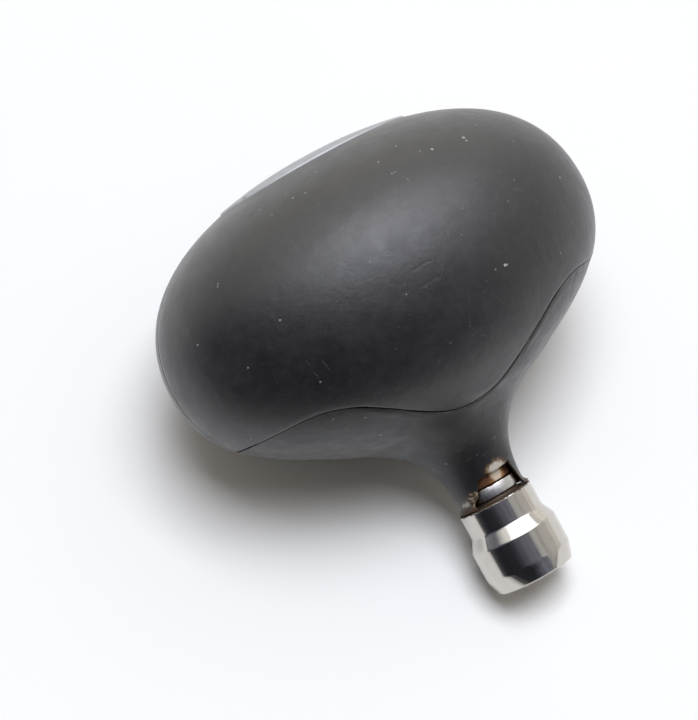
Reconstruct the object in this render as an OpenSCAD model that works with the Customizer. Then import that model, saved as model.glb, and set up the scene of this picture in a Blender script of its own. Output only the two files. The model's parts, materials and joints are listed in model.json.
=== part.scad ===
// Fishing reel knob: an egg-shaped rubber grip on a flared moulded core, which turns on a steel
// spindle with a stepped nickel collar. It lies at rest on the belly of the grip and the collar's rim.
// Every piece is drawn along the stem, with z = 0 at the collar's end, and is then laid down.

/* [Grip] */
// Length of the grip, across the stem
grip_length = 46; // [40:0.5:54]
// Thickness of the grip, front to back
grip_thickness = 34.5; // [28:0.5:38]
// Height of the grip's widest line above the foot of the neck
widest_height = 23.3; // [21:0.1:26]
// Height of the crown above the widest line
crown_height = 14.2; // [12:0.1:18]
// How full the grip's shoulders are, as a share of the crown's height
shoulder_fullness = 0.65; // [0.5:0.01:0.8]
// How flat the crown is, as a share of half the length
crown_flatness = 0.62; // [0.5:0.01:0.75]
// Thickness of the rubber over the core
rubber_t = 2.4; // [1.5:0.1:3]
// Softened step at the lower edge of the rubber
edge_soften = 0.1; // [0.05:0.05:0.4]

/* [Seam] */
// Height of the seam above the foot, at the tip of each tongue
tongue_height = 9.5; // [8.5:0.1:11]
// Height of the seam above the foot, at the two ends
seam_height = 15.8; // [14:0.1:17.5]
// Half width of a tongue where it runs out
tongue_half_w = 15.5; // [10:0.5:18]
// Open width of the seam
seam_gap = 0.15; // [0.1:0.05:0.4]

/* [Neck] */
// Radius of the neck at its waist
waist_r = 3.4; // [3.3:0.05:4]
// Height of the waist above the foot
waist_height = 0.9; // [0.6:0.1:1.5]
// Radius of the lip at the foot
lip_r = 3.82; // [3.7:0.02:4.4]
// How low the lip bends into the waist, as a share of the waist's height
lip_bend = 0.4; // [0.2:0.05:0.6]
// Radius of the flank where its hollow turns into its round
flank_r = 10.9; // [9:0.1:13]
// Height of that point above the foot
flank_height = 10.2; // [9.5:0.1:11.5]
// Slope of the flank there, outwards for each millimetre up
flank_slope = 1.75; // [1.2:0.05:2.4]
// How far the flank keeps that slope upwards, as a share of the belly's rise
flank_reach = 0.18; // [0.1:0.01:0.3]
// How far it keeps that slope downwards, as a share of the neck's rise
hollow_reach = 0.04; // [0.02:0.01:0.1]
// How straight the neck rises, as a share of its rise
neck_fullness = 0.77; // [0.6:0.01:0.85]
// How full the belly is under the widest line, as a share of its height
belly_fullness = 0.64; // [0.5:0.01:0.8]
// Height of the broken-out window above the foot
window_height = 2.65; // [1.9:0.05:3]
// Width of the window at the foot
window_width = 5.5; // [3.5:0.1:6]

/* [Cap] */
// Length of the oval end cap
cap_length = 21; // [16:0.5:24]
// Width of the end cap
cap_width = 13; // [10:0.5:15]
// Height of the cap over the rubber around it
cap_proud = 0.15; // [0.05:0.05:0.5]
// Depth of the cap's seat below the crown
cap_seat_depth = 2.6; // [2.2:0.1:3.4]
// Length of the ring that plugs into the core
plug_length = 1.5; // [1:0.1:2.5]
// Wall of that ring
plug_wall = 0.8; // [0.6:0.1:1.2]

/* [Spindle] */
// Radius of the collar's end face
end_r = 3.95; // [3.6:0.05:4.2]
// Length of the chamfer at the collar's end
chamfer_l = 1.65; // [1:0.05:2.5]
// Radius of the collar's wide step
wide_r = 4.48; // [4.3:0.02:5.2]
// Length of the wide step
wide_l = 3; // [2:0.1:4.5]
// Length of the slope between the steps
slope_l = 1.3; // [0.8:0.1:2]
// Radius of the collar's narrow step
narrow_r = 3.83; // [3.5:0.01:4.2]
// Length of the narrow step
narrow_l = 2.5; // [1.5:0.1:4]
// Radius of the shaft
shaft_r = 2; // [1.6:0.05:2.2]
// Radius of the washer seat on the collar
seat_r = 2.5; // [2.3:0.05:2.7]
// Height of that seat
seat_h = 0.4; // [0.3:0.05:0.7]
// Core radius of the threaded hole in the collar's end
thread_r = 1.65; // [1.2:0.05:1.8]
// Depth of the threaded hole
thread_depth = 6; // [4:0.5:7]
// Width of the chamfer at the mouth of the threaded hole
mouth_chamfer = 0.4; // [0.2:0.05:0.6]

/* [Bearings] */
// Outer radius of the bushes
bush_r = 2.8; // [2.6:0.05:2.9]
// Outer radius of the lower bush's nose, which shows in the window
nose_r = 2.6; // [2.4:0.05:2.7]
// Length of each bush inside its bore
bush_length = 5; // [3.5:0.1:6]
// Radius of the upper bush's flange
flange_r = 3.5; // [3.2:0.05:3.9]
// Thickness of that flange
flange_t = 0.8; // [0.5:0.05:1.2]
// Depth of the pocket under the cap's seat, down to the floor that carries the flange
pocket_depth = 6.9; // [5.8:0.1:9]
// Radius of the pocket under the cap
pocket_r = 4.5; // [4.2:0.05:5.2]
// Outer radius of the thrust washer
thrust_r = 2.95; // [2.6:0.05:3]
// Thickness of the thrust washer
thrust_t = 1.2; // [0.6:0.05:1.4]
// Radius of the retaining screw's thread
screw_r = 1.25; // [1:0.05:1.4]
// Length of the screw under its head
screw_length = 7; // [5:0.5:10]
// Radius of the screw's head
head_r = 2.3; // [2:0.05:2.6]
// Height of the screw's head
head_h = 1.7; // [1.2:0.1:2.2]
// Outer radius of the retaining washer
keeper_r = 3.5; // [3:0.05:4]
// Thickness of the retaining washer
keeper_t = 0.6; // [0.4:0.05:1]

/* [Clearances] */
// Radial running clearance of the shaft in its bushes
run_clear = 0.03; // [0.02:0.01:0.06]
// End float of the knob on its spindle
end_float = 0.05; // [0.03:0.01:0.1]
// Radial clearance of pieces that are set into each other
set_clear = 0.02; // [0.01:0.01:0.05]
// Fit of the rubber around the core
rubber_clear = 0.05; // [0.03:0.01:0.1]
// Gap between the foot of the neck and the collar
foot_gap = 0.15; // [0.1:0.05:0.3]
// Gap between the cap and the edge of the rubber
cap_gap = 0.08; // [0.05:0.01:0.15]
// Radial room around the pieces that turn inside the core
turn_room = 0.2; // [0.15:0.05:0.35]
// Wall left between the window and the lower bush's bore
bush_margin = 0.2; // [0.1:0.05:0.5]

/* [Hidden] */
$fn = 64;

// Points around each ring of a skin, and rows of rings on each stretch
ring_points = 64;
grip_rows = 22;
lip_rows = 4;
neck_rows = 7;
flank_rows = 7;
inner_rows = 9;
cap_rows = 7;
solve_steps = 26;
// Share of the neck's curve whose rings are level
level_share = 0.5;
// How far a cut runs past the face it opens
overshoot = 1;

// Heights along the stem
slope_z = chamfer_l + wide_l;
narrow_z = slope_z + slope_l;
collar_z = narrow_z + narrow_l;
foot_z = collar_z + foot_gap;
waist_z = foot_z + waist_height;
flank_z = foot_z + flank_height;
widest_z = foot_z + widest_height;
crown_z = widest_z + crown_height;
cap_seat_z = crown_z - cap_seat_depth;
seat_z = collar_z + seat_h;
thrust_z = seat_z + thrust_t;
nose_z = thrust_z + end_float;
lower_bush_z = foot_z + window_height + bush_margin;
pocket_z = cap_seat_z - pocket_depth;
keeper_z = pocket_z + flange_t + end_float;
head_z = keeper_z + keeper_t;

half_length = grip_length / 2;
half_thickness = grip_thickness / 2;
slimness = half_thickness / half_length;
bush_bore_r = bush_r + set_clear;
mouth_r = max(thrust_r + turn_room, bush_bore_r + set_clear);
shaft_room_r = shaft_r + turn_room;

// The outline of the knob from foot to crown: lip, neck, belly and shoulder, each a Bezier curve
neck_rise = flank_z - waist_z;
belly_rise = widest_z - flank_z;
flank_handle = flank_reach * belly_rise;
hollow_handle = hollow_reach * neck_rise;
lip_corner = [waist_r, foot_z + lip_bend * waist_height];
OUTLINE = [
    [[lip_r, foot_z], lip_corner, lip_corner, [waist_r, waist_z]],
    [[waist_r, waist_z], [waist_r, waist_z + neck_fullness * neck_rise],
     [flank_r - flank_slope * hollow_handle, flank_z - hollow_handle], [flank_r, flank_z]],
    [[flank_r, flank_z], [flank_r + flank_slope * flank_handle, flank_z + flank_handle],
     [half_length, widest_z - belly_fullness * belly_rise], [half_length, widest_z]],
    [[half_length, widest_z], [half_length, widest_z + shoulder_fullness * crown_height],
     [crown_flatness * half_length, crown_z], [0, crown_z]]
];
// Places along the outline: the start of each curve
NECK = 1;
BELLY = 2;
SHOULDER = 3;
CROWN = 4;

// Angles of the points around a ring: the knob lies on the middle of a facet, not on an edge
angles = [for (i = [0 : ring_points - 1]) 360 * (i + 0.5) / ring_points];

function lerp(a, b, t) = a + (b - a) * t;
function smooth(t) = let (c = max(0, min(1, t))) c * c * (3 - 2 * c);
function bezier(p, t) = let (u = 1 - t)
    u * u * u * p[0] + 3 * u * u * t * p[1] + 3 * u * t * t * p[2] + t * t * t * p[3];

// Radius and height of the outline at a place s
function outline(s) = let (curve = min(floor(s), SHOULDER)) bezier(OUTLINE[curve], s - curve);

// The neck is round, and the grip is slimmer front to back
function depth_ratio(s) = s >= SHOULDER ? slimness :
    lerp(1, slimness, smooth((outline(s)[0] - waist_r) / (half_length - waist_r)));

// Point of the knob's skin at a place and an angle, moved inwards by inset
function skin_point(s, angle, inset = 0) = let (p = outline(s))
    [(p[0] - inset) * cos(angle), (p[0] * depth_ratio(s) - inset) * sin(angle), p[1]];

// Height of the seam across the knob: a tongue at the front and the back, level at the ends
function seam_z(x) = foot_z + lerp(tongue_height, seam_height,
    pow(sin(90 * min(1, abs(x) / tongue_half_w)), 2));

// Place on the outline where the seam, shifted up or down, crosses it at an angle
function seam_place(angle, shift, low = NECK, high = SHOULDER, steps = solve_steps) =
    let (mid = (low + high) / 2, p = outline(mid))
    steps == 0 ? mid :
    p[1] > seam_z(p[0] * cos(angle)) + shift ? seam_place(angle, shift, low, mid, steps - 1) :
    seam_place(angle, shift, mid, high, steps - 1);

// Place on the shoulder at a radius along the grip's length
function shoulder_place(r, low = SHOULDER, high = CROWN, steps = solve_steps) =
    let (mid = (low + high) / 2)
    steps == 0 ? mid :
    outline(mid)[0] < r ? shoulder_place(r, low, mid, steps - 1) :
    shoulder_place(r, mid, high, steps - 1);

// Place on the shoulder at a height
function height_place(z, low = SHOULDER, high = CROWN, steps = solve_steps) =
    let (mid = (low + high) / 2)
    steps == 0 ? mid :
    outline(mid)[1] > z ? height_place(z, low, mid, steps - 1) :
    height_place(z, mid, high, steps - 1);

// Radius, along the grip's length, at which the cap's oval lies at an angle
function oval_radius(angle, gap) = 1 / norm([cos(angle) / (cap_length / 2 - gap),
                                             slimness * sin(angle) / (cap_width / 2 - gap)]);

grip_seam = [for (a = angles) seam_place(a, seam_gap / 2)];
core_seam = [for (a = angles) seam_place(a, -seam_gap / 2)];
cap_rim = [for (a = angles) shoulder_place(oval_radius(a, 0))];
core_top = height_place(cap_seat_z);

// A list of equal places, one for each point of a level ring
function level(s) = [for (a = angles) s];
// A ring of skin points part of the way between two lists of places
function ring_between(from, to, share, inset = 0) =
    [for (i = [0 : ring_points - 1]) skin_point(lerp(from[i], to[i], share), angles[i], inset)];
// The cap's oval at a height
function oval_ring(z, gap) = [for (a = angles) let (r = oval_radius(a, gap))
    [r * cos(a), slimness * r * sin(a), z]];

// The knob lies on the belly of the grip and on the lowest corner of the collar
profile_step = 0.02;
belly_points = [for (s = [BELLY : profile_step : CROWN]) [outline(s)[1], outline(s)[0] * depth_ratio(s)]];
collar_corners = [[0, end_r], [chamfer_l, wide_r]];
function slope_to_belly(c) = max([for (p = belly_points) atan2(p[1] - c[1], p[0] - c[0])]);
rest_tilt = min([for (c = collar_corners) slope_to_belly(c)]);
rest_lift = max([for (c = collar_corners) c[1] * cos(rest_tilt) - c[0] * sin(rest_tilt)]);
far_y = max([for (p = belly_points) p[0] * cos(rest_tilt) + p[1] * sin(rest_tilt)]);
near_y = -end_r * sin(rest_tilt);
middle_y = (far_y + near_y) / 2;

module lay_down() {
    translate([0, -middle_y, rest_lift]) rotate([rest_tilt - 90, 0, 0]) children();
}

// How far the middle of a diagonal stands from the heart of the grip
function bulge(p, q) = norm((p + q) / 2 - [0, 0, widest_z]);

// Skin over rings with equal numbers of points: a stack with flat ends, or a closed loop of rings.
// Each patch folds along the diagonal that stands out further, so that skins nest in each other.
module skin(rings, loop = false) {
    n = len(rings[0]);
    m = len(rings);
    points = [for (ring = rings) each ring];
    sides = [for (j = [0 : m - (loop ? 1 : 2)], i = [0 : n - 1])
        let (up = (j + 1) % m, next = (i + 1) % n,
             a = j * n + i, b = up * n + i, c = up * n + next, d = j * n + next)
        each bulge(points[a], points[c]) > bulge(points[b], points[d]) ?
            [[a, b, c], [a, c, d]] : [[a, b, d], [b, c, d]]];
    ends = loop ? [] : [[for (i = [0 : n - 1]) i], [for (i = [n - 1 : -1 : 0]) (m - 1) * n + i]];
    polyhedron(points, concat(sides, ends));
}

module at(z) {
    translate([0, 0, z]) children();
}

module washer(z, thickness, outer_r, inner_r) {
    at(z) difference() {
        cylinder(h = thickness, r = outer_r);
        at(-thickness) cylinder(h = 3 * thickness, r = inner_r);
    }
}

module grip() {
    edge_share = 0.012;
    edge = [ring_between(grip_seam, cap_rim, 0, edge_soften), ring_between(grip_seam, cap_rim, edge_share)];
    outer = [for (j = [1 : grip_rows]) ring_between(grip_seam, cap_rim, j / grip_rows)];
    inner = [for (j = [inner_rows : -1 : 0])
        ring_between(grip_seam, level(core_top), j / inner_rows, rubber_t)];
    color("#4a4b4e") lay_down() skin(concat(edge, outer, [oval_ring(cap_seat_z, 0)], inner), loop = true);
}

module neck_core() {
    neck_end = level(NECK + level_share);
    lip = [for (j = [0 : lip_rows - 1]) ring_between(level(0), level(NECK), j / lip_rows)];
    neck = [for (j = [0 : neck_rows - 1]) ring_between(level(NECK), neck_end, j / neck_rows)];
    flank = [for (j = [0 : flank_rows]) ring_between(neck_end, core_seam, j / flank_rows)];
    step_in = rubber_t + rubber_clear;
    ledge = [ring_between(core_seam, grip_seam, 0, step_in)];
    inner = [for (j = [0 : inner_rows]) ring_between(grip_seam, level(core_top), j / inner_rows, step_in)];
    through = crown_z;
    color("#3c3d40") lay_down() difference() {
        skin(concat(lip, neck, flank, ledge, inner));
        at(foot_z - overshoot) cylinder(h = lower_bush_z - foot_z + overshoot, r = mouth_r);
        at(foot_z) cylinder(h = lower_bush_z + bush_length - foot_z, r = bush_bore_r);
        at(foot_z) cylinder(h = through, r = shaft_room_r);
        at(pocket_z - bush_length) cylinder(h = through, r = bush_bore_r);
        at(pocket_z) cylinder(h = through, r = pocket_r);
        window();
    }
}

// The window broken out of the front of the neck's foot. Its uneven edge is given in shares of
// half its width and of its height.
module window() {
    broken_edge = [[1, -0.2], [0.98, 0.2], [0.78, 1], [0.12, 0.96], [-0.25, 1],
                   [-0.57, 0.94], [-0.78, 0.4], [-1, 0.15], [-1, -0.2]];
    rotate([90, 0, 0]) linear_extrude(2 * lip_r)
        polygon([for (p = broken_edge) [p[0] * window_width / 2, foot_z + p[1] * window_height]]);
}

module end_cap() {
    function top_ring(share, proud) = [for (a = angles)
        let (r = share * oval_radius(a, cap_gap))
        [r * cos(a), slimness * r * sin(a), outline(shoulder_place(r))[1] + proud]];
    centre_share = 0.02;
    edge_share = 0.985;
    crown = [for (j = [cap_rows : -1 : 0]) top_ring(lerp(centre_share, edge_share, j / cap_rows), cap_proud)];
    plug_r = pocket_r - set_clear;
    color("silver") lay_down() {
        skin(concat([oval_ring(cap_seat_z, cap_gap), top_ring(1, 0)], crown));
        washer(cap_seat_z - plug_length, plug_length + plug_wall, plug_r, plug_r - plug_wall);
    }
}

module lower_bush() {
    color("peru") lay_down() {
        washer(nose_z, lower_bush_z - nose_z, nose_r, shaft_r + run_clear);
        washer(lower_bush_z, bush_length, bush_r, shaft_r + run_clear);
    }
}

module upper_bush() {
    color("goldenrod") lay_down() {
        washer(pocket_z - bush_length, bush_length, bush_r, shaft_r + run_clear);
        washer(pocket_z, flange_t, flange_r, shaft_r + run_clear);
    }
}

// One turned piece: the stepped collar, the washer seat and the shaft
module spindle() {
    color("gainsboro") lay_down() difference() {
        rotate_extrude() polygon([
            [0, 0], [end_r, 0], [wide_r, chamfer_l], [wide_r, slope_z], [narrow_r, narrow_z],
            [narrow_r, collar_z], [seat_r, collar_z], [seat_r, seat_z], [shaft_r, seat_z],
            [shaft_r, keeper_z], [0, keeper_z]]);
        at(-overshoot) cylinder(h = thread_depth + overshoot, r = thread_r);
        at(0) cylinder(h = mouth_chamfer, r1 = thread_r + mouth_chamfer, r2 = thread_r);
        at(keeper_z - screw_length) cylinder(h = screw_length + overshoot, r = screw_r + set_clear);
    }
}

module thrust_washer() {
    color("white") lay_down() washer(seat_z, thrust_t, thrust_r, shaft_r + set_clear);
}

module retaining_washer() {
    color("lightgray") lay_down() washer(keeper_z, keeper_t, keeper_r, screw_r + set_clear);
}

// Pan-head screw with a cross recess
module retaining_screw() {
    recess_l = 1.3 * head_r;
    recess_w = 0.25 * head_r;
    recess_depth = 0.6 * head_h;
    screw_tip = 0.5;
    color("silver") lay_down() difference() {
        union() {
            at(head_z) cylinder(h = head_h, r1 = head_r, r2 = 0.85 * head_r);
            at(keeper_z - screw_length + screw_tip)
                cylinder(h = screw_length - screw_tip + keeper_t, r = screw_r);
        }
        for (turn = [0, 90])
            rotate([0, 0, turn]) at(head_z + head_h)
                cube([recess_l, recess_w, 2 * recess_depth], center = true);
    }
}

grip();
neck_core();
end_cap();
lower_bush();
upper_bush();
spindle();
thrust_washer();
retaining_washer();
retaining_screw();
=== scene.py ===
"""Looks of the fishing reel knob: a satin rubber grip on a moulded core, a silver end cap, and a
spindle whose nickel collar stands under the neck. Lengths are written in millimetres and turned
into metres by MM. The stem frame has its origin on the collar's end face, z along the stem to the
crown, x along the grip and -y towards the broken window in the neck."""
import json
import math

import bpy
from mathutils import Matrix, Vector


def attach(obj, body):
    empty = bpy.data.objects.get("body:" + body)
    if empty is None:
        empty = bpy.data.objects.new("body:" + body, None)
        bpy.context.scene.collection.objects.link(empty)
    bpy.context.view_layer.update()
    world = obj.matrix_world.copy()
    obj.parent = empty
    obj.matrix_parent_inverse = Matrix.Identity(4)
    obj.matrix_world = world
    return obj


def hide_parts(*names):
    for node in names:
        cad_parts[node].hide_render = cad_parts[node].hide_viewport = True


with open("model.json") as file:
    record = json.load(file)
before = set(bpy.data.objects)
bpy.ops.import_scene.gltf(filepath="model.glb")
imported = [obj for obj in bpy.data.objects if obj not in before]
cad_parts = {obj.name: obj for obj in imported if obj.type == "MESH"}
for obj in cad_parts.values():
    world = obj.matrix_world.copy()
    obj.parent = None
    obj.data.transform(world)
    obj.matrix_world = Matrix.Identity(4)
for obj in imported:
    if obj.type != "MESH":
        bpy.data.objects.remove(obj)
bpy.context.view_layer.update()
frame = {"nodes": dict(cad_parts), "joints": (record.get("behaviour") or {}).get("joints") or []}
MM = 0.001

# The stem, from the joint that the knob turns on
JOINT = frame["joints"][0]
STEM_AXIS = Vector(JOINT["axis"]).normalized()
ACROSS = Vector((1, 0, 0))
STEM = Matrix((ACROSS, STEM_AXIS.cross(ACROSS), STEM_AXIS)).transposed().to_4x4()
STEM.translation = Vector(JOINT["pos_m"])
TO_STEM = STEM.inverted()

# The photograph's frame, and where it was taken from in the stem frame
PHOTO_SIZE = (698, 720)
FOCAL_PIXELS = 2835.7
VIEW_TURN = math.radians(16.34)
VIEW_RISE = math.radians(1.79)
VIEW_ROLL = math.radians(61.36)
VIEW_DISTANCE = 273.7
VIEW_AIM = Vector((0, 0, 28))
VIEW_SHIFT = (-5.903, -1.027)
SENSOR = 36

# Radii and heights of the turned pieces, in the stem frame
END_R, WIDE_R, NARROW_R = 3.95, 4.48, 3.83
CHAMFER_Z, SLOPE_Z, NARROW_Z, COLLAR_Z = 1.65, 4.65, 5.95, 8.45
SEAT_R, SEAT_Z, SHAFT_R, SHAFT_Z = 2.5, 8.85, 2.0, 37.45
THREAD_R, THREAD_ROOT_R, THREAD_DEPTH, MOUTH = 1.65, 2.0, 6.0, 0.4
THREAD_PITCH, THREAD_TURNS, THREAD_SINK = 0.7, 7, 0.05
SCREW_HOLE_R, SCREW_HOLE_Z = 1.27, 30.45
WASHER_R, WASHER_BORE, WASHER_Z = 2.95, 2.02, 10.05
NOSE_R, NOSE_Z, BUSH_R, BUSH_BORE, BUSH_Z, BUSH_TOP = 2.6, 10.1, 2.8, 2.03, 11.45, 16.45
FOOT_Z, WINDOW_TOP, WINDOW_HALF = 8.6, 11.25, 2.75
SEAM_Z, SEAM_R = (17.5, 27.5), 5
# A point in the middle of the grip
HEART = Vector((0, 0, 32))
# Vertices closer than this are one, and a height or a plane holds within the slack
MERGE, SLACK = 0.001, 0.01

# Places of the stains and the wear, in the stem frame: the brown inside of the neck's foot, painted
# lighter as painted light in its shade, the edge of the foot, the dust over the crown with painted sheen,
# and the worn crescent above the window with its fringe
STAIN_R = 3.2
INNER_STAIN_AND_LIGHT_R, INNER_STAIN_AND_LIGHT_Z = (STAIN_R + 0.25, STAIN_R), (WINDOW_TOP - 0.1, WINDOW_TOP - 0.3)
FOOT_STAIN = (FOOT_Z + 0.55, FOOT_Z + 0.25)
CROWN_DUST_AND_SHEEN_Z = (35, 43.5)
CRESCENT, CRESCENT_SHAPE, CRESCENT_RADII = (0.55, -3.3, 11.3), (0.6, 0.0, 0.9), (0.86, 0.66)
CRESCENT_FRONT = (-1.5, -2.0)
# The grease under the collar's upper edge, and the stains at the washer's sides and along its rims
GREASE_Z = (COLLAR_Z - 0.16, COLLAR_Z - 0.06)
WASHER_SIDES, WASHER_RIMS = (2.1, 2.9), (0.5, 0.56)

# Light, by azimuth from +X towards +Y and elevation. A key lamp lights the surfaces, and mirrors see a
# softbox with a glow beside it, in a room whose tones run from the side opposite to its dark one.
# Lamps are in metres and watts, and each is turned about its own aim
LAMP_DISTANCE = 1.2
KEY = {"side": (20, 87), "turn": 0, "size": (0.6, 0.6), "power": 12.3, "colour": (0.90, 0.935, 1.0),
       "shows_in": "surfaces"}
SOFTBOX = {"side": (22, 77), "turn": 68, "size": (2.2, 1.35), "power": 46.5, "colour": (0.87, 0.885, 1.0),
           "shows_in": "mirrors"}
SOFTBOX_FADE = (0.5, 0.05)
BRIGHT_SIDE, FILL_EDGE = (15, 30), (-0.7, 0.95)
FILL_TONES = ((0.03, 0.028, 0.025), (0.47, 0.437, 0.385))
GLOW_SIDE, GLOW_EDGE = (115, 68), (0.72, 0.92)
DARK_SIDE, FLOOR_FADE = (-135, 5), (34, 72)
ROOM_TONES = ((0.07, (0.94, 0.92, 0.88)), (0.35, (0.64, 0.625, 0.60)), (0.5, (0.49, 0.485, 0.48)),
              (0.59, (0.45, 0.45, 0.46)), (0.625, (0.21, 0.215, 0.26)), (0.76, (0.16, 0.165, 0.21)),
              (0.85, (0.08, 0.085, 0.11)), (0.92, (0.024, 0.026, 0.034)))
FLOOR_SIZE = 8
WHITE_GLOW, WHITE_SURROUND = (1.0, 1.0, 1.0), (0.95, 0.95, 0.95)

# Tones of the finishes, each pair blended in patches
RUBBER_TONES = ((0.009, 0.009, 0.010), (0.013, 0.013, 0.014))
# The crown's dust tone is partly painted sheen: it lightens the grip towards its crown
RUBBER_FILM, CROWN_DUST_AND_SHEEN = (0.07, 0.07, 0.066), (0.068, 0.066, 0.062)
FIBRE_GREY, PALE_DUST = (0.2, 0.19, 0.17), (0.44, 0.44, 0.41)
CORE_TONES = ((0.008, 0.008, 0.009), (0.014, 0.014, 0.014))
GREY_DUST = (0.34, 0.34, 0.315)
# The inside's brown is a stain painted lighter, as painted light in the shade of the foot
INNER_STAIN_AND_PAINTED_LIGHT, FOOT_BROWN = (0.32, 0.22, 0.15), (0.075, 0.046, 0.028)
LIP_TONES = ((0.05, 0.03, 0.018), (0.42, 0.33, 0.22))
CHIP_PALE = (0.4, 0.37, 0.3)
FRINGE_BROWN, WORN_PALE = (0.16, 0.085, 0.03), (0.47, 0.44, 0.385)
SILVER_TONES = ((0.44, 0.45, 0.465), (0.50, 0.51, 0.525))
CRUMB_BLACK = (0.05, 0.048, 0.045)
NICKEL_TONES = ((0.62, 0.59, 0.545), (0.57, 0.54, 0.495))
GREASE_BROWN = (0.085, 0.057, 0.036)
STEEL_TONES = ((0.60, 0.59, 0.57), (0.71, 0.70, 0.68))
STEEL_STAIN, RIM_STAIN = (0.13, 0.075, 0.035), (0.10, 0.055, 0.028)
RUST_TONES = ((0.045, 0.022, 0.016), (0.15, 0.065, 0.03))
# The orange and pale tones paint a highlight on the rusty bush: a pale core in an orange halo
HIGHLIGHT_HALO_ORANGE, HIGHLIGHT_CORE_PALE = (0.40, 0.20, 0.08), (0.68, 0.58, 0.46)
BRONZE_TONES = ((0.36, 0.22, 0.10), (0.52, 0.34, 0.17))
FLOOR_TONES, FLOOR_DARK = ((0.945, 0.945, 0.95), (0.955, 0.955, 0.96)), (0.05, 0.05, 0.055)

# Marks that the photograph shows, at its pixels. Dust has a radius and a strength
GRIP_DUST = (
    ((463.5, 137.5), 0.2, 0.9), ((466.5, 140.5), 0.16, 0.7), ((432, 149), 0.15, 1),
    ((505, 265), 0.16, 1), ((507, 264.7), 0.12, 0.9), ((476.5, 125), 0.1, 0.5),
    ((392, 173.5), 0.13, 0.4), ((395, 172), 0.1, 0.35), ((280, 320), 0.12, 0.6),
    ((197.5, 345), 0.12, 0.6), ((248, 368), 0.12, 0.6), ((218, 284), 0.1, 0.5),
    ((217.7, 286.5), 0.1, 0.5), ((508, 201), 0.09, 0.35), ((560.5, 253), 0.1, 0.4),
    ((560, 177.5), 0.12, 0.7), ((378.5, 162), 0.12, 0.6), ((514, 180), 0.1, 0.35),
    ((513, 141), 0.1, 0.35), ((479, 116), 0.1, 0.4), ((483, 120), 0.09, 0.35),
    ((426.5, 119), 0.12, 0.4), ((293, 198), 0.12, 0.55), ((305, 193), 0.12, 0.5),
    ((286, 194), 0.1, 0.4), ((272, 215), 0.1, 0.4), ((260, 210), 0.12, 0.4), ((396, 146), 0.12, 0.5),
    ((420, 151), 0.1, 0.45), ((320.5, 382), 0.12, 0.4), ((209, 434), 0.1, 0.6), ((234, 441), 0.1, 0.5),
    ((251, 439), 0.1, 0.5), ((316, 172), 0.13, 0.5), ((582, 263), 0.1, 0.5), ((588, 258), 0.08, 0.5))
CORE_DUST = (
    ((381, 435), 0.12, 0.7), ((365.5, 418), 0.1, 0.5), ((333, 419), 0.11, 0.4), ((318, 441), 0.1, 0.3),
    ((390, 432), 0.08, 0.3), ((446, 464), 0.1, 0.5), ((433, 470), 0.14, 0.3), ((494, 438), 0.1, 0.35),
    ((477, 455), 0.1, 0.3), ((505, 436), 0.12, 0.4))
# Fibres, pale scratches, dents and a scuff run between their ends
FIBRES = (
    ((306, 361), (310, 365)), ((313, 372), (319, 377)), ((322, 360), (326, 365)),
    ((326, 365), (330, 371)), ((388, 129), (397, 127)), ((314, 167), (311, 178)),
    ((311, 178), (306, 187)), ((534, 197), (537, 203)), ((515, 188.5), (523, 191)),
    # The line from (468, 295) to (470, 327) is a thin pale line along the grip, drawn with the fibres
    ((468, 295), (470, 327)), ((352, 176), (349, 182)), ((187, 329), (189, 338)))
NECK_STREAKS = (
    ((483, 456), (486, 453)), ((492, 440), (496, 436)), ((470, 444), (474, 440)),
    ((458, 452), (462, 449)), ((494, 452), (495, 445)), ((466, 462), (471, 458)))
DENTS = (((413.5, 269.5), (431.5, 259.5)), ((421, 286), (440, 276)), ((403, 294), (408, 291)))
SCUFF = ((503, 191), (528, 199))
CAP_CRUMBS = (((245, 197.2), 0.3, 0.7), ((252.5, 191.5), 0.2, 0.5), ((258, 187.5), 0.14, 0.5))
# Width of the drawn marks, with their strength or depth
FIBRE_WIDTH, FIBRE_STRENGTH = 0.13, 0.25
STREAK_WIDTH, STREAK_STRENGTH = 0.15, 0.09
DENT_WIDTH, DENT_DEPTH = 0.5, 0.3
SCUFF_WIDTH, SCUFF_DEPTH = 0.6, 0.5
# Dust strewn over a whole piece: the spacing, size and share of the cells of each kind
GRIP_STREWN, GRIP_STREWN_STRENGTH = ((1.8, 0.13, 0.5), (0.8, 0.07, 0.4), (0.5, 0.045, 0.4)), 0.45
CORE_STREWN, CORE_STREWN_STRENGTH = ((1.4, 0.12, 0.5), (0.6, 0.07, 0.4), (0.35, 0.045, 0.5)), 0.4
# A painted highlight on the rusty bush, and bare and stained spots around the broken window, with their
# sizes
PAINTED_RUST_HIGHLIGHT, PAINTED_RUST_HIGHLIGHT_RADII = (497, 475), (1.1, 0.75)
LIP_CHIP, LIP_CHIP_WIDTH = ((463.5, 506.5), (468, 504)), 0.6
LIP_DIRT, LIP_DIRT_R = (474.5, 500), 0.9


# Camera

def view_axes():
    """The level right and up of the view, then the camera's right, up and back, in the stem frame."""
    back = Vector((-math.sin(VIEW_TURN) * math.cos(VIEW_RISE),
                   -math.cos(VIEW_TURN) * math.cos(VIEW_RISE), math.sin(VIEW_RISE)))
    right = Vector((math.cos(VIEW_TURN), -math.sin(VIEW_TURN), 0))
    up = back.cross(right)
    s, c = math.sin(VIEW_ROLL), math.cos(VIEW_ROLL)
    return right, up, right * s - up * c, right * c + up * s, back


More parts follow.
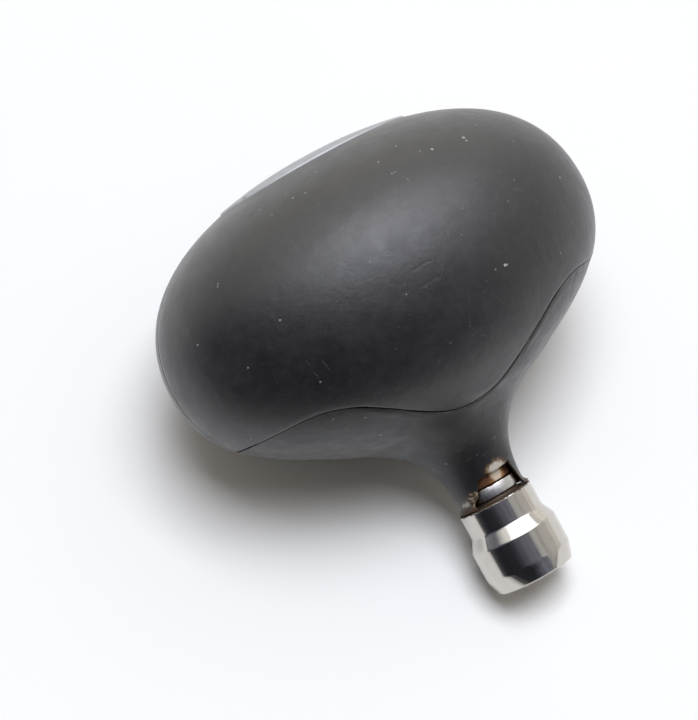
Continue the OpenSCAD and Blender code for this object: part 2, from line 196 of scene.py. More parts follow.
def add_camera():
    level_right, level_up, right, up, back = view_axes()
    place = VIEW_AIM + level_right * VIEW_SHIFT[0] + level_up * VIEW_SHIFT[1] + back * VIEW_DISTANCE
    pose = Matrix((right, up, back)).transposed().to_4x4()
    pose.translation = place * MM
    data = bpy.data.cameras.new("camera")
    data.sensor_width = SENSOR
    data.lens = FOCAL_PIXELS / PHOTO_SIZE[1] * SENSOR
    data.clip_start, data.clip_end = 0.01, 20
    camera = bpy.data.objects.new("camera", data)
    bpy.context.scene.collection.objects.link(camera)
    camera.matrix_world = STEM @ pose
    bpy.context.scene.camera = camera
    return camera


def on_piece(piece, pixel):
    """The point of a piece, in stem millimetres, that the photograph shows at a pixel."""
    pose = camera.matrix_world
    aim = Vector((pixel[0] - PHOTO_SIZE[0] / 2, PHOTO_SIZE[1] / 2 - pixel[1], -FOCAL_PIXELS))
    hit, place, _, _ = piece.ray_cast(pose.translation, (pose.to_3x3() @ aim).normalized())
    if not hit:
        raise ValueError(f"pixel {pixel} misses {piece.name}")
    return TO_STEM @ place / MM


# Modelling

def pick(piece):
    """Makes a piece the only one selected."""
    bpy.ops.object.select_all(action="DESELECT")
    piece.select_set(True)
    bpy.context.view_layer.objects.active = piece


def edit(piece):
    pick(piece)
    bpy.ops.object.mode_set(mode="EDIT")


def close():
    bpy.ops.object.mode_set(mode="OBJECT")


def choose(piece, kind, wanted):
    """Opens a piece with only those of its faces or vertices selected that a test wants."""
    edit(piece)
    bpy.ops.mesh.select_mode(type=kind)
    bpy.ops.mesh.select_all(action="DESELECT")
    close()
    for part in piece.data.polygons if kind == "FACE" else piece.data.vertices:
        part.select = wanted(part)
    edit(piece)


def lay_down(piece):
    """Moves a piece modelled in the stem frame to its place, and keeps the place in its mesh."""
    pick(piece)
    bpy.ops.object.transform_apply(location=True, rotation=True, scale=True)
    piece.matrix_world = STEM
    bpy.ops.object.transform_apply(location=True, rotation=True, scale=True)


def smooth(piece, angle):
    pick(piece)
    bpy.ops.object.shade_smooth_by_angle(angle=math.radians(angle))


def apply(piece, kind, **settings):
    """Adds a modifier and applies it."""
    modifier = piece.modifiers.new(kind.lower(), kind)
    for field, value in settings.items():
        setattr(modifier, field, value)
    pick(piece)
    bpy.ops.object.modifier_apply(modifier=modifier.name)


def rounded_copy(node, name, levels, sharp=35):
    """A smooth copy of a CAD node: its triangles are joined, paired into quads and subdivided."""
    piece = bpy.data.objects.new(name, frame["nodes"][node].data.copy())
    piece.data.name = name
    piece.data.materials.clear()
    bpy.context.scene.collection.objects.link(piece)
    edit(piece)
    bpy.ops.mesh.select_all(action="SELECT")
    bpy.ops.mesh.remove_doubles(threshold=MERGE * MM)
    bpy.ops.mesh.tris_convert_to_quads(face_threshold=math.radians(30), shape_threshold=math.radians(60))
    bpy.ops.mesh.select_mode(type="EDGE")
    bpy.ops.mesh.select_all(action="DESELECT")
    bpy.ops.mesh.edges_select_sharp(sharpness=math.radians(sharp))
    bpy.ops.transform.edge_crease(value=1)
    close()
    apply(piece, "SUBSURF", levels=levels, render_levels=levels)
    smooth(piece, sharp)
    return piece


def turned(name, outline, bevel, soft_heights=(), soft_bevel=0.0, segments=96):
    """A turned piece: a ring drawn through an outline of (radius, height), with bevelled corners.
    An outline that ends where it starts makes a ring. Any other is closed with discs at its ends.
    The corners at the soft heights are rounded more than the rest."""
    ring = outline[0] == outline[-1]
    r, z = outline[0]
    bpy.ops.object.select_all(action="DESELECT")
    bpy.ops.mesh.primitive_circle_add(vertices=segments, radius=r * MM, location=(0, 0, z * MM),
                                      fill_type="NOTHING" if ring else "NGON", enter_editmode=True)
    piece = bpy.context.object
    piece.name = piece.data.name = name
    extrude = bpy.ops.mesh.extrude_edges_move if ring else bpy.ops.mesh.extrude_region_move
    bpy.ops.mesh.select_mode(type="EDGE" if ring else "FACE")
    bpy.ops.mesh.select_all(action="SELECT")
    for next_r, next_z in outline[1:]:
        extrude(TRANSFORM_OT_translate={"value": (0, 0, (next_z - z) * MM)})
        bpy.ops.transform.resize(value=(next_r / r, next_r / r, 1), center_override=(0, 0, next_z * MM))
        r, z = next_r, next_z
    bpy.ops.mesh.select_mode(type="EDGE")
    bpy.ops.mesh.select_all(action="SELECT")
    bpy.ops.mesh.remove_doubles(threshold=MERGE * MM)
    bpy.ops.mesh.normals_make_consistent(inside=False)
    close()
    if soft_heights:
        choose(piece, "VERT",
               lambda vertex: any(abs(vertex.co.z / MM - soft_z) < SLACK for soft_z in soft_heights))
        bpy.ops.mesh.select_mode(type="EDGE")
        bpy.ops.mesh.bevel(offset=soft_bevel * MM, segments=6, affect="EDGES")
        close()
    edit(piece)
    bpy.ops.mesh.select_mode(type="EDGE")
    bpy.ops.mesh.select_all(action="DESELECT")
    bpy.ops.mesh.edges_select_sharp(sharpness=math.radians(12))
    bpy.ops.mesh.bevel(offset=bevel * MM, segments=3, affect="EDGES")
    close()
    lay_down(piece)
    return piece


def burnish(piece):
    """Shades a turned piece smoothly, with its flats and cylinders left true."""
    smooth(piece, angle=40)
    apply(piece, "WEIGHTED_NORMAL", keep_sharp=True)


def tap_thread(piece):
    """Winds the ridge of the tapped thread into the hole in the collar's end. The ridge is a
    triangle, which is one and a half times as high as the radius of the circle around it."""
    ridge = (THREAD_ROOT_R + THREAD_SINK - THREAD_R) / 1.5
    bpy.ops.object.select_all(action="DESELECT")
    bpy.ops.mesh.primitive_circle_add(vertices=3, radius=ridge * MM,
                                      rotation=(math.pi / 2, -math.pi / 2, 0),
                                      location=((THREAD_R + ridge) * MM, 0, (MOUTH + ridge) * MM))
    thread = bpy.context.object
    bpy.ops.object.transform_apply(location=True, rotation=True, scale=True)
    apply(thread, "SCREW", axis="Z", angle=math.tau, screw_offset=THREAD_PITCH * MM,
          iterations=THREAD_TURNS, steps=48, render_steps=48)
    edit(thread)
    bpy.ops.mesh.select_all(action="SELECT")
    bpy.ops.mesh.fill_holes(sides=3)
    bpy.ops.mesh.normals_make_consistent(inside=False)
    close()
    lay_down(thread)
    pick(piece)
    thread.select_set(True)
    bpy.ops.object.join()


def on_sharp_edges(piece, wanted):
    """The vertices on a piece's sharp edges whose place in the stem frame a test wants."""
    ends = {index for edge in piece.data.edges if edge.use_edge_sharp for index in edge.vertices}
    return {index for index in ends if wanted(TO_STEM @ piece.data.vertices[index].co / MM)}


def break_edge(piece, roughness=0.05, reach=0.1, seed=4):
    """Roughens the edge of the window that is broken out of the neck's foot."""
    def around_window(place):
        across = place.y < 0 and abs(place.x) < WINDOW_HALF + reach
        return across and FOOT_Z + reach < place.z < WINDOW_TOP + reach

    broken = on_sharp_edges(piece, around_window)
    choose(piece, "VERT", lambda vertex: vertex.index in broken)
    bpy.ops.transform.vertex_random(offset=roughness * MM, seed=seed)
    close()


def close_seam(piece, rise=0.09, reach=0.3):
    """Draws the core's edge up to the grip's lip, so that the seam is a hair line."""
    def along_seam(place):
        return SEAM_Z[0] < place.z < SEAM_Z[1] and place.xy.length > SEAM_R

    edge = on_sharp_edges(piece, along_seam)
    choose(piece, "VERT", lambda vertex: vertex.index in edge)
    bpy.ops.transform.translate(value=STEM.to_3x3() @ Vector((0, 0, rise * MM)),
                                use_proportional_edit=True, proportional_edit_falloff="SMOOTH",
                                proportional_size=reach * MM)
    close()


def mark_parting_line(piece, half_width=0.07, depth=0.05):
    """Sinks the mould's parting line into the grip, along its length and over its crown."""
    edit(piece)
    for side in (-1, 1):
        bpy.ops.mesh.select_all(action="SELECT")
        bpy.ops.mesh.bisect(plane_co=STEM @ Vector((0, side * half_width * MM, 0)),
                            plane_no=STEM.to_3x3() @ Vector((0, 1, 0)), threshold=MERGE * MM)
    close()

    def on_line(vertex):
        out = TO_STEM @ vertex.co / MM - HEART
        facing = (TO_STEM.to_3x3() @ vertex.normal).dot(out)
        return abs(out.y) < SLACK and facing > 0.3 * out.length

    choose(piece, "VERT", on_line)
    bpy.ops.transform.shrink_fatten(value=-depth * MM)
    close()


# Materials

def plug_in(tree, node, inputs):
    """Feeds a node's inputs from sockets or plain values."""
    for name, value in inputs.items():
        if isinstance(value, bpy.types.NodeSocket):
            tree.links.new(value, node.inputs[name])
        else:
            node.inputs[name].default_value = value


def wire(tree, kind, inputs=None, **settings):
    """Adds a node, sets its fields and feeds its inputs."""
    node = tree.nodes.new("ShaderNode" + kind)
    for field, value in settings.items():
        setattr(node, field, value)
    plug_in(tree, node, inputs or {})
    return node


def reckon(tree, operation, a, b, clamp=False):
    """One step of arithmetic on two values."""
    return wire(tree, "Math", {0: a, 1: b}, operation=operation, use_clamp=clamp).outputs[0]


def spread(tree, value, low, high, to_low=0.0, to_high=1.0):
    """Maps a value from one range to another and stops at its ends."""
    return wire(tree, "MapRange", {"Value": value, "From Min": low, "From Max": high,
                                   "To Min": to_low, "To Max": to_high}).outputs[0]


def blend(tree, share, a, b):
    """Mixes two colours."""
    colours = [c if isinstance(c, bpy.types.NodeSocket) else (*c, 1) for c in (a, b)]
    return wire(tree, "Mix", {0: share, 6: colours[0], 7: colours[1]}, data_type="RGBA").outputs[2]


def noise(tree, place, scale, detail=3.0, roughness=0.55):
    return wire(tree, "TexNoise", {"Vector": place, "Scale": scale, "Detail": detail,
                                   "Roughness": roughness}).outputs["Fac"]


def patchy(tree, place, scale, detail=3.0, low=0.0, high=1.0, roughness=0.55):
    """A value that changes in patches over the surface, from low to high."""
    return spread(tree, noise(tree, place, scale, detail, roughness), 0.3, 0.7, low, high)


def group(name, inputs, output):
    """An empty shader group with named inputs and one output."""
    tree = bpy.data.node_groups.new(name, "ShaderNodeTree")
    for socket, default in inputs.items():
        kind = "NodeSocketFloat" if isinstance(default, float) else "NodeSocketVector"
        tree.interface.new_socket(socket, in_out="INPUT", socket_type=kind).default_value = default
    tree.interface.new_socket(output, in_out="OUTPUT", socket_type="NodeSocketFloat")
    return tree, tree.nodes.new("NodeGroupInput").outputs, tree.nodes.new("NodeGroupOutput").inputs


def use(tree, made, inputs):
    """Places a group in a tree with its own values."""
    node = tree.nodes.new("ShaderNodeGroup")
    node.node_tree = made
    plug_in(tree, node, inputs)
    return node.outputs[0]


def speck_group():
    """A soft round spot at a place."""
    tree, given, made = group("speck", {"Place": (0, 0, 0), "Centre": (0, 0, 0), "Radius": 0.1}, "Mask")
    gap = wire(tree, "VectorMath", {0: given["Place"], 1: given["Centre"]}, operation="DISTANCE")
    share = reckon(tree, "DIVIDE", gap.outputs["Value"], given["Radius"])
    tree.links.new(spread(tree, share, 1.0, 0.6), made["Mask"])
    return tree


def stroke_group():
    """A soft line between two places."""
    tree, given, made = group("stroke", {"Place": (0, 0, 0), "From": (0, 0, 0), "To": (0, 0, 0),
                                         "Width": 0.1}, "Mask")

    def vector(operation, a, b, output="Vector"):
        return wire(tree, "VectorMath", {0: a, 1: b}, operation=operation).outputs[output]

    run = vector("SUBTRACT", given["To"], given["From"])
    reach = vector("SUBTRACT", given["Place"], given["From"])
    share = reckon(tree, "DIVIDE", vector("DOT_PRODUCT", reach, run, "Value"),
                   vector("DOT_PRODUCT", run, run, "Value"), clamp=True)
    along = wire(tree, "VectorMath", {0: run, "Scale": share}, operation="SCALE").outputs["Vector"]
    gap = vector("DISTANCE", reach, along, "Value")
    tree.links.new(spread(tree, reckon(tree, "DIVIDE", gap, given["Width"]), 0.5, 0.1), made["Mask"])
    return tree


def dust_group():
    """Fine specks strewn at random, one at most in each cell."""
    tree, given, made = group("strewn dust", {"Place": (0, 0, 0), "Spacing": 1.0, "Size": 0.1,
                                              "Share": 0.5}, "Mask")
    scale = reckon(tree, "DIVIDE", 1.0, given["Spacing"])
    cell = wire(tree, "TexVoronoi", {"Vector": given["Place"], "Scale": scale, "Randomness": 1.0})
    draw = wire(tree, "SeparateColor", {"Color": cell.outputs["Color"]})
    present = reckon(tree, "LESS_THAN", draw.outputs[0], given["Share"])
    size = reckon(tree, "MULTIPLY", given["Size"], spread(tree, draw.outputs[1], 0.0, 1.0, 0.3, 1.0))
    gap = reckon(tree, "MULTIPLY", cell.outputs["Distance"], given["Spacing"])
    spot = spread(tree, reckon(tree, "DIVIDE", gap, size), 1.0, 0.5)
    bright = spread(tree, draw.outputs[2], 0.0, 1.0, 0.25, 1.0)
    shown = reckon(tree, "MULTIPLY", spot, present)
    tree.links.new(reckon(tree, "MULTIPLY", shown, bright), made["Mask"])
    return tree


def grain_group():
    """Fine moulded grain over a slight unevenness, as a height."""
    tree, given, made = group("moulded grain", {"Place": (0, 0, 0), "Fine": 6.0, "Broad": 0.8}, "Height")
    fine = noise(tree, given["Place"], given["Fine"], 2.0)
    broad = noise(tree, given["Place"], given["Broad"], 2.0)
    tree.links.new(reckon(tree, "ADD", reckon(tree, "MULTIPLY", fine, 0.35), broad), made["Height"])
    return tree


SPECK = speck_group()
STROKE = stroke_group()
STREWN_DUST = dust_group()
GRAIN = grain_group()


def finish(name, **constants):
    """A material with a shader, and the surface's place along the stem in millimetres."""
    material = bpy.data.materials.new(name)
    material.use_nodes = True
    tree = material.node_tree
    shader = tree.nodes["Principled BSDF"]
    for socket, value in constants.items():
        shader.inputs[socket.replace("_", " ")].default_value = value
    where = wire(tree, "TexCoord")
    place = wire(tree, "Mapping", {"Vector": where.outputs["Object"], "Location": STEM.translation,
                                   "Rotation": STEM.to_euler(), "Scale": (MM, MM, MM)},
                 vector_type="TEXTURE")
    return material, tree, shader, place.outputs[0]


def feed(tree, shader, **sockets):
    for name, value in sockets.items():
        tree.links.new(value, shader.inputs[name.replace("_", " ")])


def bump(tree, height, depth):
    """A normal from a height, with its full depth in millimetres."""
    return wire(tree, "Bump", {"Height": height, "Distance": depth * MM, "Strength": 1.0}).outputs[0]


def most(tree, masks):
    """The strongest of several masks at each point."""
    total = masks[0]
    for mask in masks[1:]:
        total = reckon(tree, "MAXIMUM", total, mask)
    return total


def on_grain(tree, place, reach, scale=2.2):
    """The place, shifted a little at random, so that a mask around it gets a rough outline."""
    wobble = wire(tree, "TexNoise", {"Vector": place, "Scale": scale, "Detail": 4.0}).outputs["Color"]
    centred = wire(tree, "VectorMath", {0: wobble, 1: (0.5, 0.5, 0.5)}, operation="SUBTRACT").outputs[0]
    return wire(tree, "VectorMath", {0: centred, 1: (reach, reach, reach), 2: place},
                operation="MULTIPLY_ADD").outputs[0]


def speck(tree, place, piece, pixel, radius, strength=1.0):
    """A spot on a piece at a pixel of the photograph."""
    spot = use(tree, SPECK, {"Place": place, "Centre": on_piece(piece, pixel), "Radius": radius})
    return reckon(tree, "MULTIPLY", spot, strength)


def stroke(tree, place, piece, ends, width):
    """A line on a piece between two pixels of the photograph."""
    start, end = (on_piece(piece, pixel) for pixel in ends)
    return use(tree, STROKE, {"Place": place, "From": start, "To": end, "Width": width})


def strewn(tree, place, strength, kinds):
    """Dust of several kinds, each with its spacing, its size and its share of the cells."""
    masks = [use(tree, STREWN_DUST, {"Place": place, "Spacing": spacing, "Size": size, "Share": share})
             for spacing, size, share in kinds]
    return reckon(tree, "MULTIPLY", most(tree, masks), strength)


def rubber_finish():
    material, tree, shader, place = finish("satin_rubber", IOR=1.5, Specular_IOR_Level=0.78,
                                           Sheen_Weight=0.22, Sheen_Roughness=0.3)
    colour = blend(tree, patchy(tree, place, 0.25, 4.0), *RUBBER_TONES)
    film = spread(tree, noise(tree, place, 1.1, 6.0, 0.7), 0.45, 0.8, 0.0, 0.2)
    colour = blend(tree, film, colour, RUBBER_FILM)
    # Lighter towards the crown: dust, and painted sheen in place of the brighter reflection there
    stem_height = wire(tree, "SeparateXYZ", {0: place}).outputs["Z"]
    crown = reckon(tree, "MULTIPLY", spread(tree, stem_height, *CROWN_DUST_AND_SHEEN_Z),
                   patchy(tree, place, 0.7, 5.0, low=0.7, high=1.0, roughness=0.6))
    colour = blend(tree, crown, colour, CROWN_DUST_AND_SHEEN)
    uneven = on_grain(tree, place, 0.22, 6.0)
    fibres = most(tree, [stroke(tree, uneven, grip, ends, FIBRE_WIDTH) for ends in FIBRES])
    colour = blend(tree, reckon(tree, "MULTIPLY", fibres, FIBRE_STRENGTH), colour, FIBRE_GREY)
    dust = [speck(tree, uneven, grip, *grain) for grain in GRIP_DUST]
    dust.append(strewn(tree, place, GRIP_STREWN_STRENGTH, GRIP_STREWN))
    colour = blend(tree, most(tree, dust), colour, PALE_DUST)
    rough = patchy(tree, place, 0.5, 5.0, low=0.38, high=0.48)
    scraped = on_grain(tree, place, 0.6, 1.5)
    dents = most(tree, [stroke(tree, scraped, grip, ends, DENT_WIDTH) for ends in DENTS])
    scuff = stroke(tree, scraped, grip, SCUFF, SCUFF_WIDTH)
    sunk = reckon(tree, "ADD", reckon(tree, "MULTIPLY", dents, DENT_DEPTH),
                  reckon(tree, "MULTIPLY", scuff, SCUFF_DEPTH))
    grain = use(tree, GRAIN, {"Place": place, "Fine": 6.0, "Broad": 0.9})
    height = reckon(tree, "SUBTRACT", grain, sunk)
    feed(tree, shader, Base_Color=colour, Roughness=rough, Normal=bump(tree, height, depth=0.03))
    return material


def core_finish():
    material, tree, shader, place = finish("moulded_core", IOR=1.5, Specular_IOR_Level=0.56,
                                           Sheen_Weight=0.2, Sheen_Roughness=0.3)
    colour = blend(tree, patchy(tree, place, 0.4, 5.0), *CORE_TONES)
    uneven = on_grain(tree, place, 0.22, 6.0)
    dust = [speck(tree, uneven, core, *grain) for grain in CORE_DUST]
    dust.append(strewn(tree, place, CORE_STREWN_STRENGTH, CORE_STREWN))
    streaks = most(tree, [stroke(tree, uneven, core, ends, STREAK_WIDTH) for ends in NECK_STREAKS])
    dust.append(reckon(tree, "MULTIPLY", streaks, STREAK_STRENGTH))
    colour = blend(tree, most(tree, dust), colour, GREY_DUST)

    # The inside of the neck's foot, and what has crept out of the window, are stained brown; the inside
    # is painted lighter too, as painted light in its shade
    parts = wire(tree, "SeparateXYZ", {0: place})
    flat = wire(tree, "CombineXYZ", {"X": parts.outputs["X"], "Y": parts.outputs["Y"]}).outputs[0]
    radius = wire(tree, "VectorMath", {0: flat}, operation="LENGTH").outputs["Value"]
    inside = reckon(tree, "MULTIPLY", spread(tree, radius, *INNER_STAIN_AND_LIGHT_R),
                    spread(tree, parts.outputs["Z"], *INNER_STAIN_AND_LIGHT_Z))
    colour = blend(tree, inside, colour, INNER_STAIN_AND_PAINTED_LIGHT)
    ragged = patchy(tree, place, 2.5, 4.0, low=-0.15, high=0.15)
    foot = spread(tree, reckon(tree, "ADD", parts.outputs["Z"], ragged), *FOOT_STAIN)
    colour = blend(tree, foot, colour, FOOT_BROWN)
    rough_place = on_grain(tree, place, 0.7)
    dirt = speck(tree, rough_place, core, LIP_DIRT, LIP_DIRT_R)
    flecks = spread(tree, noise(tree, place, 3.5, 4.0), 0.5, 0.62)
    colour = blend(tree, dirt, colour, blend(tree, flecks, *LIP_TONES))
    chip = stroke(tree, on_grain(tree, place, 0.5, 3.0), core, LIP_CHIP, LIP_CHIP_WIDTH)
    colour = blend(tree, chip, colour, CHIP_PALE)

    # Above the window the wall is worn through to a pale crescent, with a brown fringe
    bow = wire(tree, "VectorMath", {0: on_grain(tree, place, 0.9, 2.8), 1: CRESCENT_SHAPE},
               operation="MULTIPLY").outputs[0]
    centre = Vector((a * b for a, b in zip(CRESCENT, CRESCENT_SHAPE)))
    fringe, worn = (use(tree, SPECK, {"Place": bow, "Centre": centre, "Radius": size})
                    for size in CRESCENT_RADII)
    front = spread(tree, parts.outputs["Y"], *CRESCENT_FRONT)
    colour = blend(tree, reckon(tree, "MULTIPLY", fringe, front), colour, FRINGE_BROWN)
    colour = blend(tree, reckon(tree, "MULTIPLY", worn, front), colour, WORN_PALE)

    rough = patchy(tree, place, 0.7, 5.0, low=0.36, high=0.5)
    height = use(tree, GRAIN, {"Place": place, "Fine": 5.0, "Broad": 1.2})
    feed(tree, shader, Base_Color=colour, Roughness=rough, Normal=bump(tree, height, depth=0.03))
    return material


def cap_finish():
    material, tree, shader, place = finish("satin_silver", Metallic=0.3, Specular_IOR_Level=0.3)
    colour = blend(tree, patchy(tree, place, 0.6, 5.0), *SILVER_TONES)
    uneven = on_grain(tree, place, 0.3, 3.0)
    dirt = most(tree, [speck(tree, uneven, cap, *crumb) for crumb in CAP_CRUMBS])
    colour = blend(tree, dirt, colour, CRUMB_BLACK)
    rough = patchy(tree, place, 3.0, 5.0, low=0.52, high=0.62)
    height = noise(tree, place, 9.0, 3.0)
    feed(tree, shader, Base_Color=colour, Roughness=rough, Normal=bump(tree, height, depth=0.01))
    return material


def nickel_finish():
    material, tree, shader, place = finish("nickel_plate", Metallic=1.0)
    parts = wire(tree, "SeparateXYZ", {0: place})
    tone = spread(tree, noise(tree, place, 1.2, 6.0, 0.6), 0.35, 0.7)
    colour = blend(tree, tone, *NICKEL_TONES)
    ragged = patchy(tree, place, 2.5, 4.0, low=-0.12, high=0.12)
    dirt_edge = reckon(tree, "ADD", parts.outputs["Z"], ragged)
    grease = spread(tree, dirt_edge, *GREASE_Z)
    colour = blend(tree, grease, colour, GREASE_BROWN)
    rough = spread(tree, noise(tree, place, 1.5, 6.0, 0.65), 0.4, 0.75, 0.05, 0.16)
    rough = reckon(tree, "MAXIMUM", rough, reckon(tree, "MULTIPLY", grease, 0.5))
    metal = reckon(tree, "SUBTRACT", 1.0, reckon(tree, "MULTIPLY", grease, 0.8))
    height = noise(tree, place, 7.0, 4.0)
    feed(tree, shader, Base_Color=colour, Roughness=rough, Metallic=metal,
         Normal=bump(tree, height, depth=0.002))
    return material


def steel_finish():
    material, tree, shader, place = finish("worn_steel", Metallic=1.0)
    parts = wire(tree, "SeparateXYZ", {0: place})
    side = wire(tree, "Math", {0: parts.outputs["X"]}, operation="ABSOLUTE").outputs[0]
    stain = spread(tree, reckon(tree, "ADD", side, noise(tree, place, 1.6, 5.0)), *WASHER_SIDES)
    colour = blend(tree, patchy(tree, place, 2.0, 5.0), *STEEL_TONES)
    colour = blend(tree, stain, colour, STEEL_STAIN)
    middle = reckon(tree, "SUBTRACT", parts.outputs["Z"], (SEAT_Z + WASHER_Z) / 2)
    rim = wire(tree, "Math", {0: middle}, operation="ABSOLUTE").outputs[0]
    ragged = patchy(tree, place, 3.0, low=-0.06, high=0.06)
    line = spread(tree, reckon(tree, "ADD", rim, ragged), *WASHER_RIMS)
    colour = blend(tree, line, colour, RIM_STAIN)
    rough = patchy(tree, place, 3.0, 4.0, low=0.24, high=0.36)
    height = noise(tree, place, 8.0)
    feed(tree, shader, Base_Color=colour, Roughness=rough, Normal=bump(tree, height, depth=0.006))
    return material


def rust_finish():
    material, tree, shader, place = finish("rusty_iron", Metallic=0.3)
    patch = noise(tree, place, 1.1, 5.0, 0.6)
    colour = blend(tree, spread(tree, patch, 0.4, 0.65), *RUST_TONES)
    rough_place = on_grain(tree, place, 0.6)
    # A painted highlight at one spot of the bush: an orange halo round a pale core
    for size, tone in zip(PAINTED_RUST_HIGHLIGHT_RADII, (HIGHLIGHT_HALO_ORANGE, HIGHLIGHT_CORE_PALE)):
        colour = blend(tree, speck(tree, rough_place, bush, PAINTED_RUST_HIGHLIGHT, size), colour, tone)
    rough = patchy(tree, place, 4.0, 5.0, low=0.35, high=0.6)
    height = noise(tree, place, 5.0, 5.0)
    feed(tree, shader, Base_Color=colour, Roughness=rough, Normal=bump(tree, height, depth=0.02))
    return material


def bronze_finish():
    material, tree, shader, place = finish("oiled_bronze", Metallic=1.0)
    colour = blend(tree, patchy(tree, place, 3.0, 6.0, roughness=0.7), *BRONZE_TONES)
    rough = patchy(tree, place, 6.0, 4.0, low=0.32, high=0.5)
    height = noise(tree, place, 8.0)
    feed(tree, shader, Base_Color=colour, Roughness=rough, Normal=bump(tree, height, depth=0.008))
    return material


def floor_finish():
    """White, but in mirrors it fades into the dark side of the room."""
    material, tree, shader, place = finish("white_floor", Roughness=0.7)
    white = blend(tree, patchy(tree, place, 0.02, 3.0), *FLOOR_TONES)
    spot = wire(tree, "TexCoord").outputs["Object"]
    reach = wire(tree, "VectorMath", {0: spot, 1: direction(DARK_SIDE[0], 0)}, operation="DOT_PRODUCT")
    far = spread(tree, reach.outputs["Value"], FLOOR_FADE[0] * MM, FLOOR_FADE[1] * MM)
    mirrored = reckon(tree, "MULTIPLY", far, wire(tree, "LightPath").outputs["Is Glossy Ray"])
    feed(tree, shader, Base_Color=blend(tree, mirrored, white, FLOOR_DARK))
    return material


def dress(piece, material):
    piece.data.materials.clear()
    piece.data.materials.append(material)


# Light and floor

def direction(azimuth, elevation):
    """Unit vector at an azimuth from +X towards +Y, and an elevation, in degrees."""
    a, e = math.radians(azimuth), math.radians(elevation)
    return Vector((math.cos(a) * math.cos(e), math.sin(a) * math.cos(e), math.sin(e)))


def fade_edges(lamp):
    """Makes a lamp a soft oval, bright in its middle and dark at its edge, as a cloth diffuser is."""
    lamp.use_nodes = True
    tree = lamp.node_tree
    spot = wire(tree, "NewGeometry").outputs["Parametric"]
    reach = wire(tree, "VectorMath", {0: spot, 1: (0.5, 0.5, 0.0)}, operation="DISTANCE").outputs["Value"]
    tree.links.new(spread(tree, reach, *SOFTBOX_FADE), tree.nodes["Emission"].inputs["Strength"])


def add_lamp(name, lamp):
    data = bpy.data.lights.new(name, "AREA")
    data.shape = "RECTANGLE"
    data.size, data.size_y = lamp["size"]
    data.energy, data.color = lamp["power"], lamp["colour"]
    if lamp["shows_in"] == "mirrors":
        fade_edges(data)
    piece = bpy.data.objects.new(name, data)
    bpy.context.scene.collection.objects.link(piece)
    out = direction(*lamp["side"])
    piece.location = out * LAMP_DISTANCE
    turn = Matrix.Rotation(math.radians(lamp["turn"]), 3, "Z")
    piece.rotation_euler = (out.to_track_quat("Z", "Y").to_matrix() @ turn).to_euler()
    piece.visible_diffuse = lamp["shows_in"] == "surfaces"
    piece.visible_glossy = lamp["shows_in"] == "mirrors"


def add_world():
    """White where it is seen, a plain soft fill, and in mirrors a room that is dark on one side."""
    world = bpy.data.worlds.new("studio")
    bpy.context.scene.world = world
    world.use_nodes = True
    tree = world.node_tree
    path = wire(tree, "LightPath").outputs
    way = wire(tree, "TexCoord").outputs["Generated"]

    def towards(side):
        share = wire(tree, "VectorMath", {0: way, 1: direction(*side)}, operation="DOT_PRODUCT")
        return share.outputs["Value"]

    fill = blend(tree, spread(tree, towards(BRIGHT_SIDE), *FILL_EDGE), *FILL_TONES)
    ramp = wire(tree, "ValToRGB", {"Fac": spread(tree, towards(DARK_SIDE), -1.0, 1.0)})
    stops = ramp.color_ramp.elements
    while len(stops) < len(ROOM_TONES):
        stops.new(0.5)
    for stop, (share, tone) in zip(stops, ROOM_TONES):
        stop.position, stop.color = share, (*tone, 1)
    streaks = patchy(tree, way, 6.0, 4.0, low=0.7, high=1.3)
    room = wire(tree, "Mix", {0: 1.0, 6: ramp.outputs["Color"], 7: streaks}, data_type="RGBA",
                blend_type="MULTIPLY").outputs[2]
    room = blend(tree, spread(tree, towards(GLOW_SIDE), *GLOW_EDGE), room, WHITE_GLOW)
    colour = blend(tree, path["Is Glossy Ray"], fill, room)
    seen = most(tree, [path["Is Camera Ray"], path["Is Transmission Ray"]])
    colour = blend(tree, seen, colour, WHITE_SURROUND)
    tree.links.new(colour, tree.nodes["Background"].inputs["Color"])


def add_floor():
    bpy.ops.object.select_all(action="DESELECT")
    bpy.ops.mesh.primitive_plane_add(size=FLOOR_SIZE)
    floor = bpy.context.object
    floor.name = "floor"
    floor.data.materials.append(floor_finish())


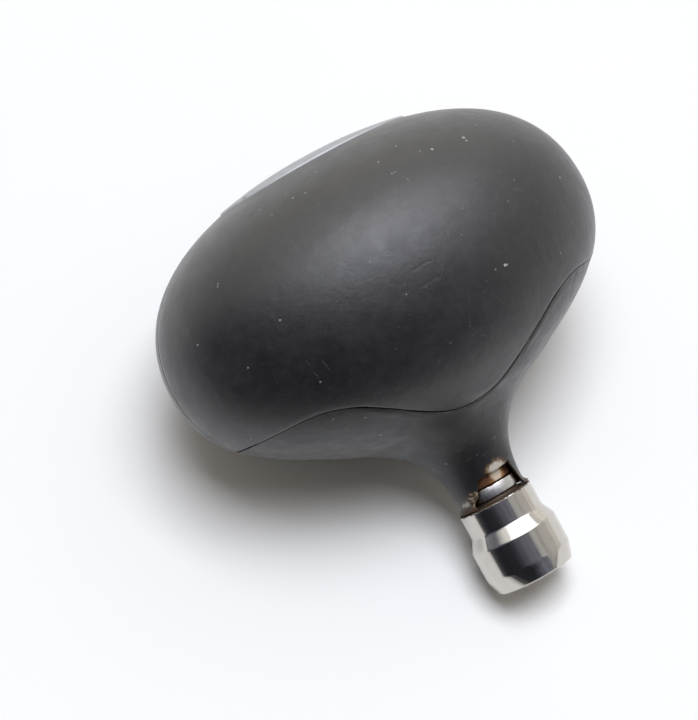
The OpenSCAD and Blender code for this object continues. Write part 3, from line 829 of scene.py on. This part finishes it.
camera = add_camera()
grip = rounded_copy("grip", "rubber_grip", 2)
mark_parting_line(grip)
core = rounded_copy("neck_core", "moulded_core", 2)
close_seam(core)
cap = rounded_copy("end_cap", "silver_cap", 2)
spindle = turned("turned_spindle", [
    (THREAD_ROOT_R, THREAD_DEPTH), (THREAD_ROOT_R, MOUTH), (THREAD_R + MOUTH, 0), (END_R, 0),
    (WIDE_R, CHAMFER_Z), (WIDE_R, SLOPE_Z), (NARROW_R, NARROW_Z), (NARROW_R, COLLAR_Z),
    (SEAT_R, COLLAR_Z), (SEAT_R, SEAT_Z), (SHAFT_R, SEAT_Z), (SHAFT_R, SHAFT_Z),
    (SCREW_HOLE_R, SHAFT_Z), (SCREW_HOLE_R, SCREW_HOLE_Z)],
    bevel=0.14, soft_heights=(SLOPE_Z, NARROW_Z), soft_bevel=0.7)
tap_thread(spindle)
washer = turned("steel_washer", [
    (WASHER_BORE, SEAT_Z), (WASHER_R, SEAT_Z), (WASHER_R, WASHER_Z), (WASHER_BORE, WASHER_Z),
    (WASHER_BORE, SEAT_Z)], bevel=0.1)
bush = turned("rusty_bush", [
    (BUSH_BORE, NOSE_Z), (NOSE_R, NOSE_Z), (NOSE_R, BUSH_Z), (BUSH_R, BUSH_Z), (BUSH_R, BUSH_TOP),
    (BUSH_BORE, BUSH_TOP), (BUSH_BORE, NOSE_Z)], bevel=0.1)

for piece in (spindle, washer, bush):
    burnish(piece)
break_edge(core)

STEEL, BRONZE = steel_finish(), bronze_finish()
for piece, body, node, material, slot in (
        (grip, "knob", "grip", rubber_finish(), "rubber"),
        (core, "knob", "neck_core", core_finish(), "core"),
        (cap, "knob", "end_cap", cap_finish(), "cap"),
        (bush, "knob", "lower_bush", rust_finish(), "rusty_bush"),
        (spindle, "spindle", "spindle", nickel_finish(), "nickel"),
        (washer, "spindle", "thrust_washer", STEEL, "steel")):
    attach(piece, body)
    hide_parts(node)
    dress(piece, material)
for node, material, slot in (("upper_bush", BRONZE, "bush"), ("retaining_washer", STEEL, "steel"),
                             ("retaining_screw", STEEL, "steel")):
    dress(frame["nodes"][node], material)

add_floor()
add_lamp("key", KEY)
add_lamp("softbox", SOFTBOX)
add_world()
bpy.context.scene.view_settings.view_transform = "Standard"
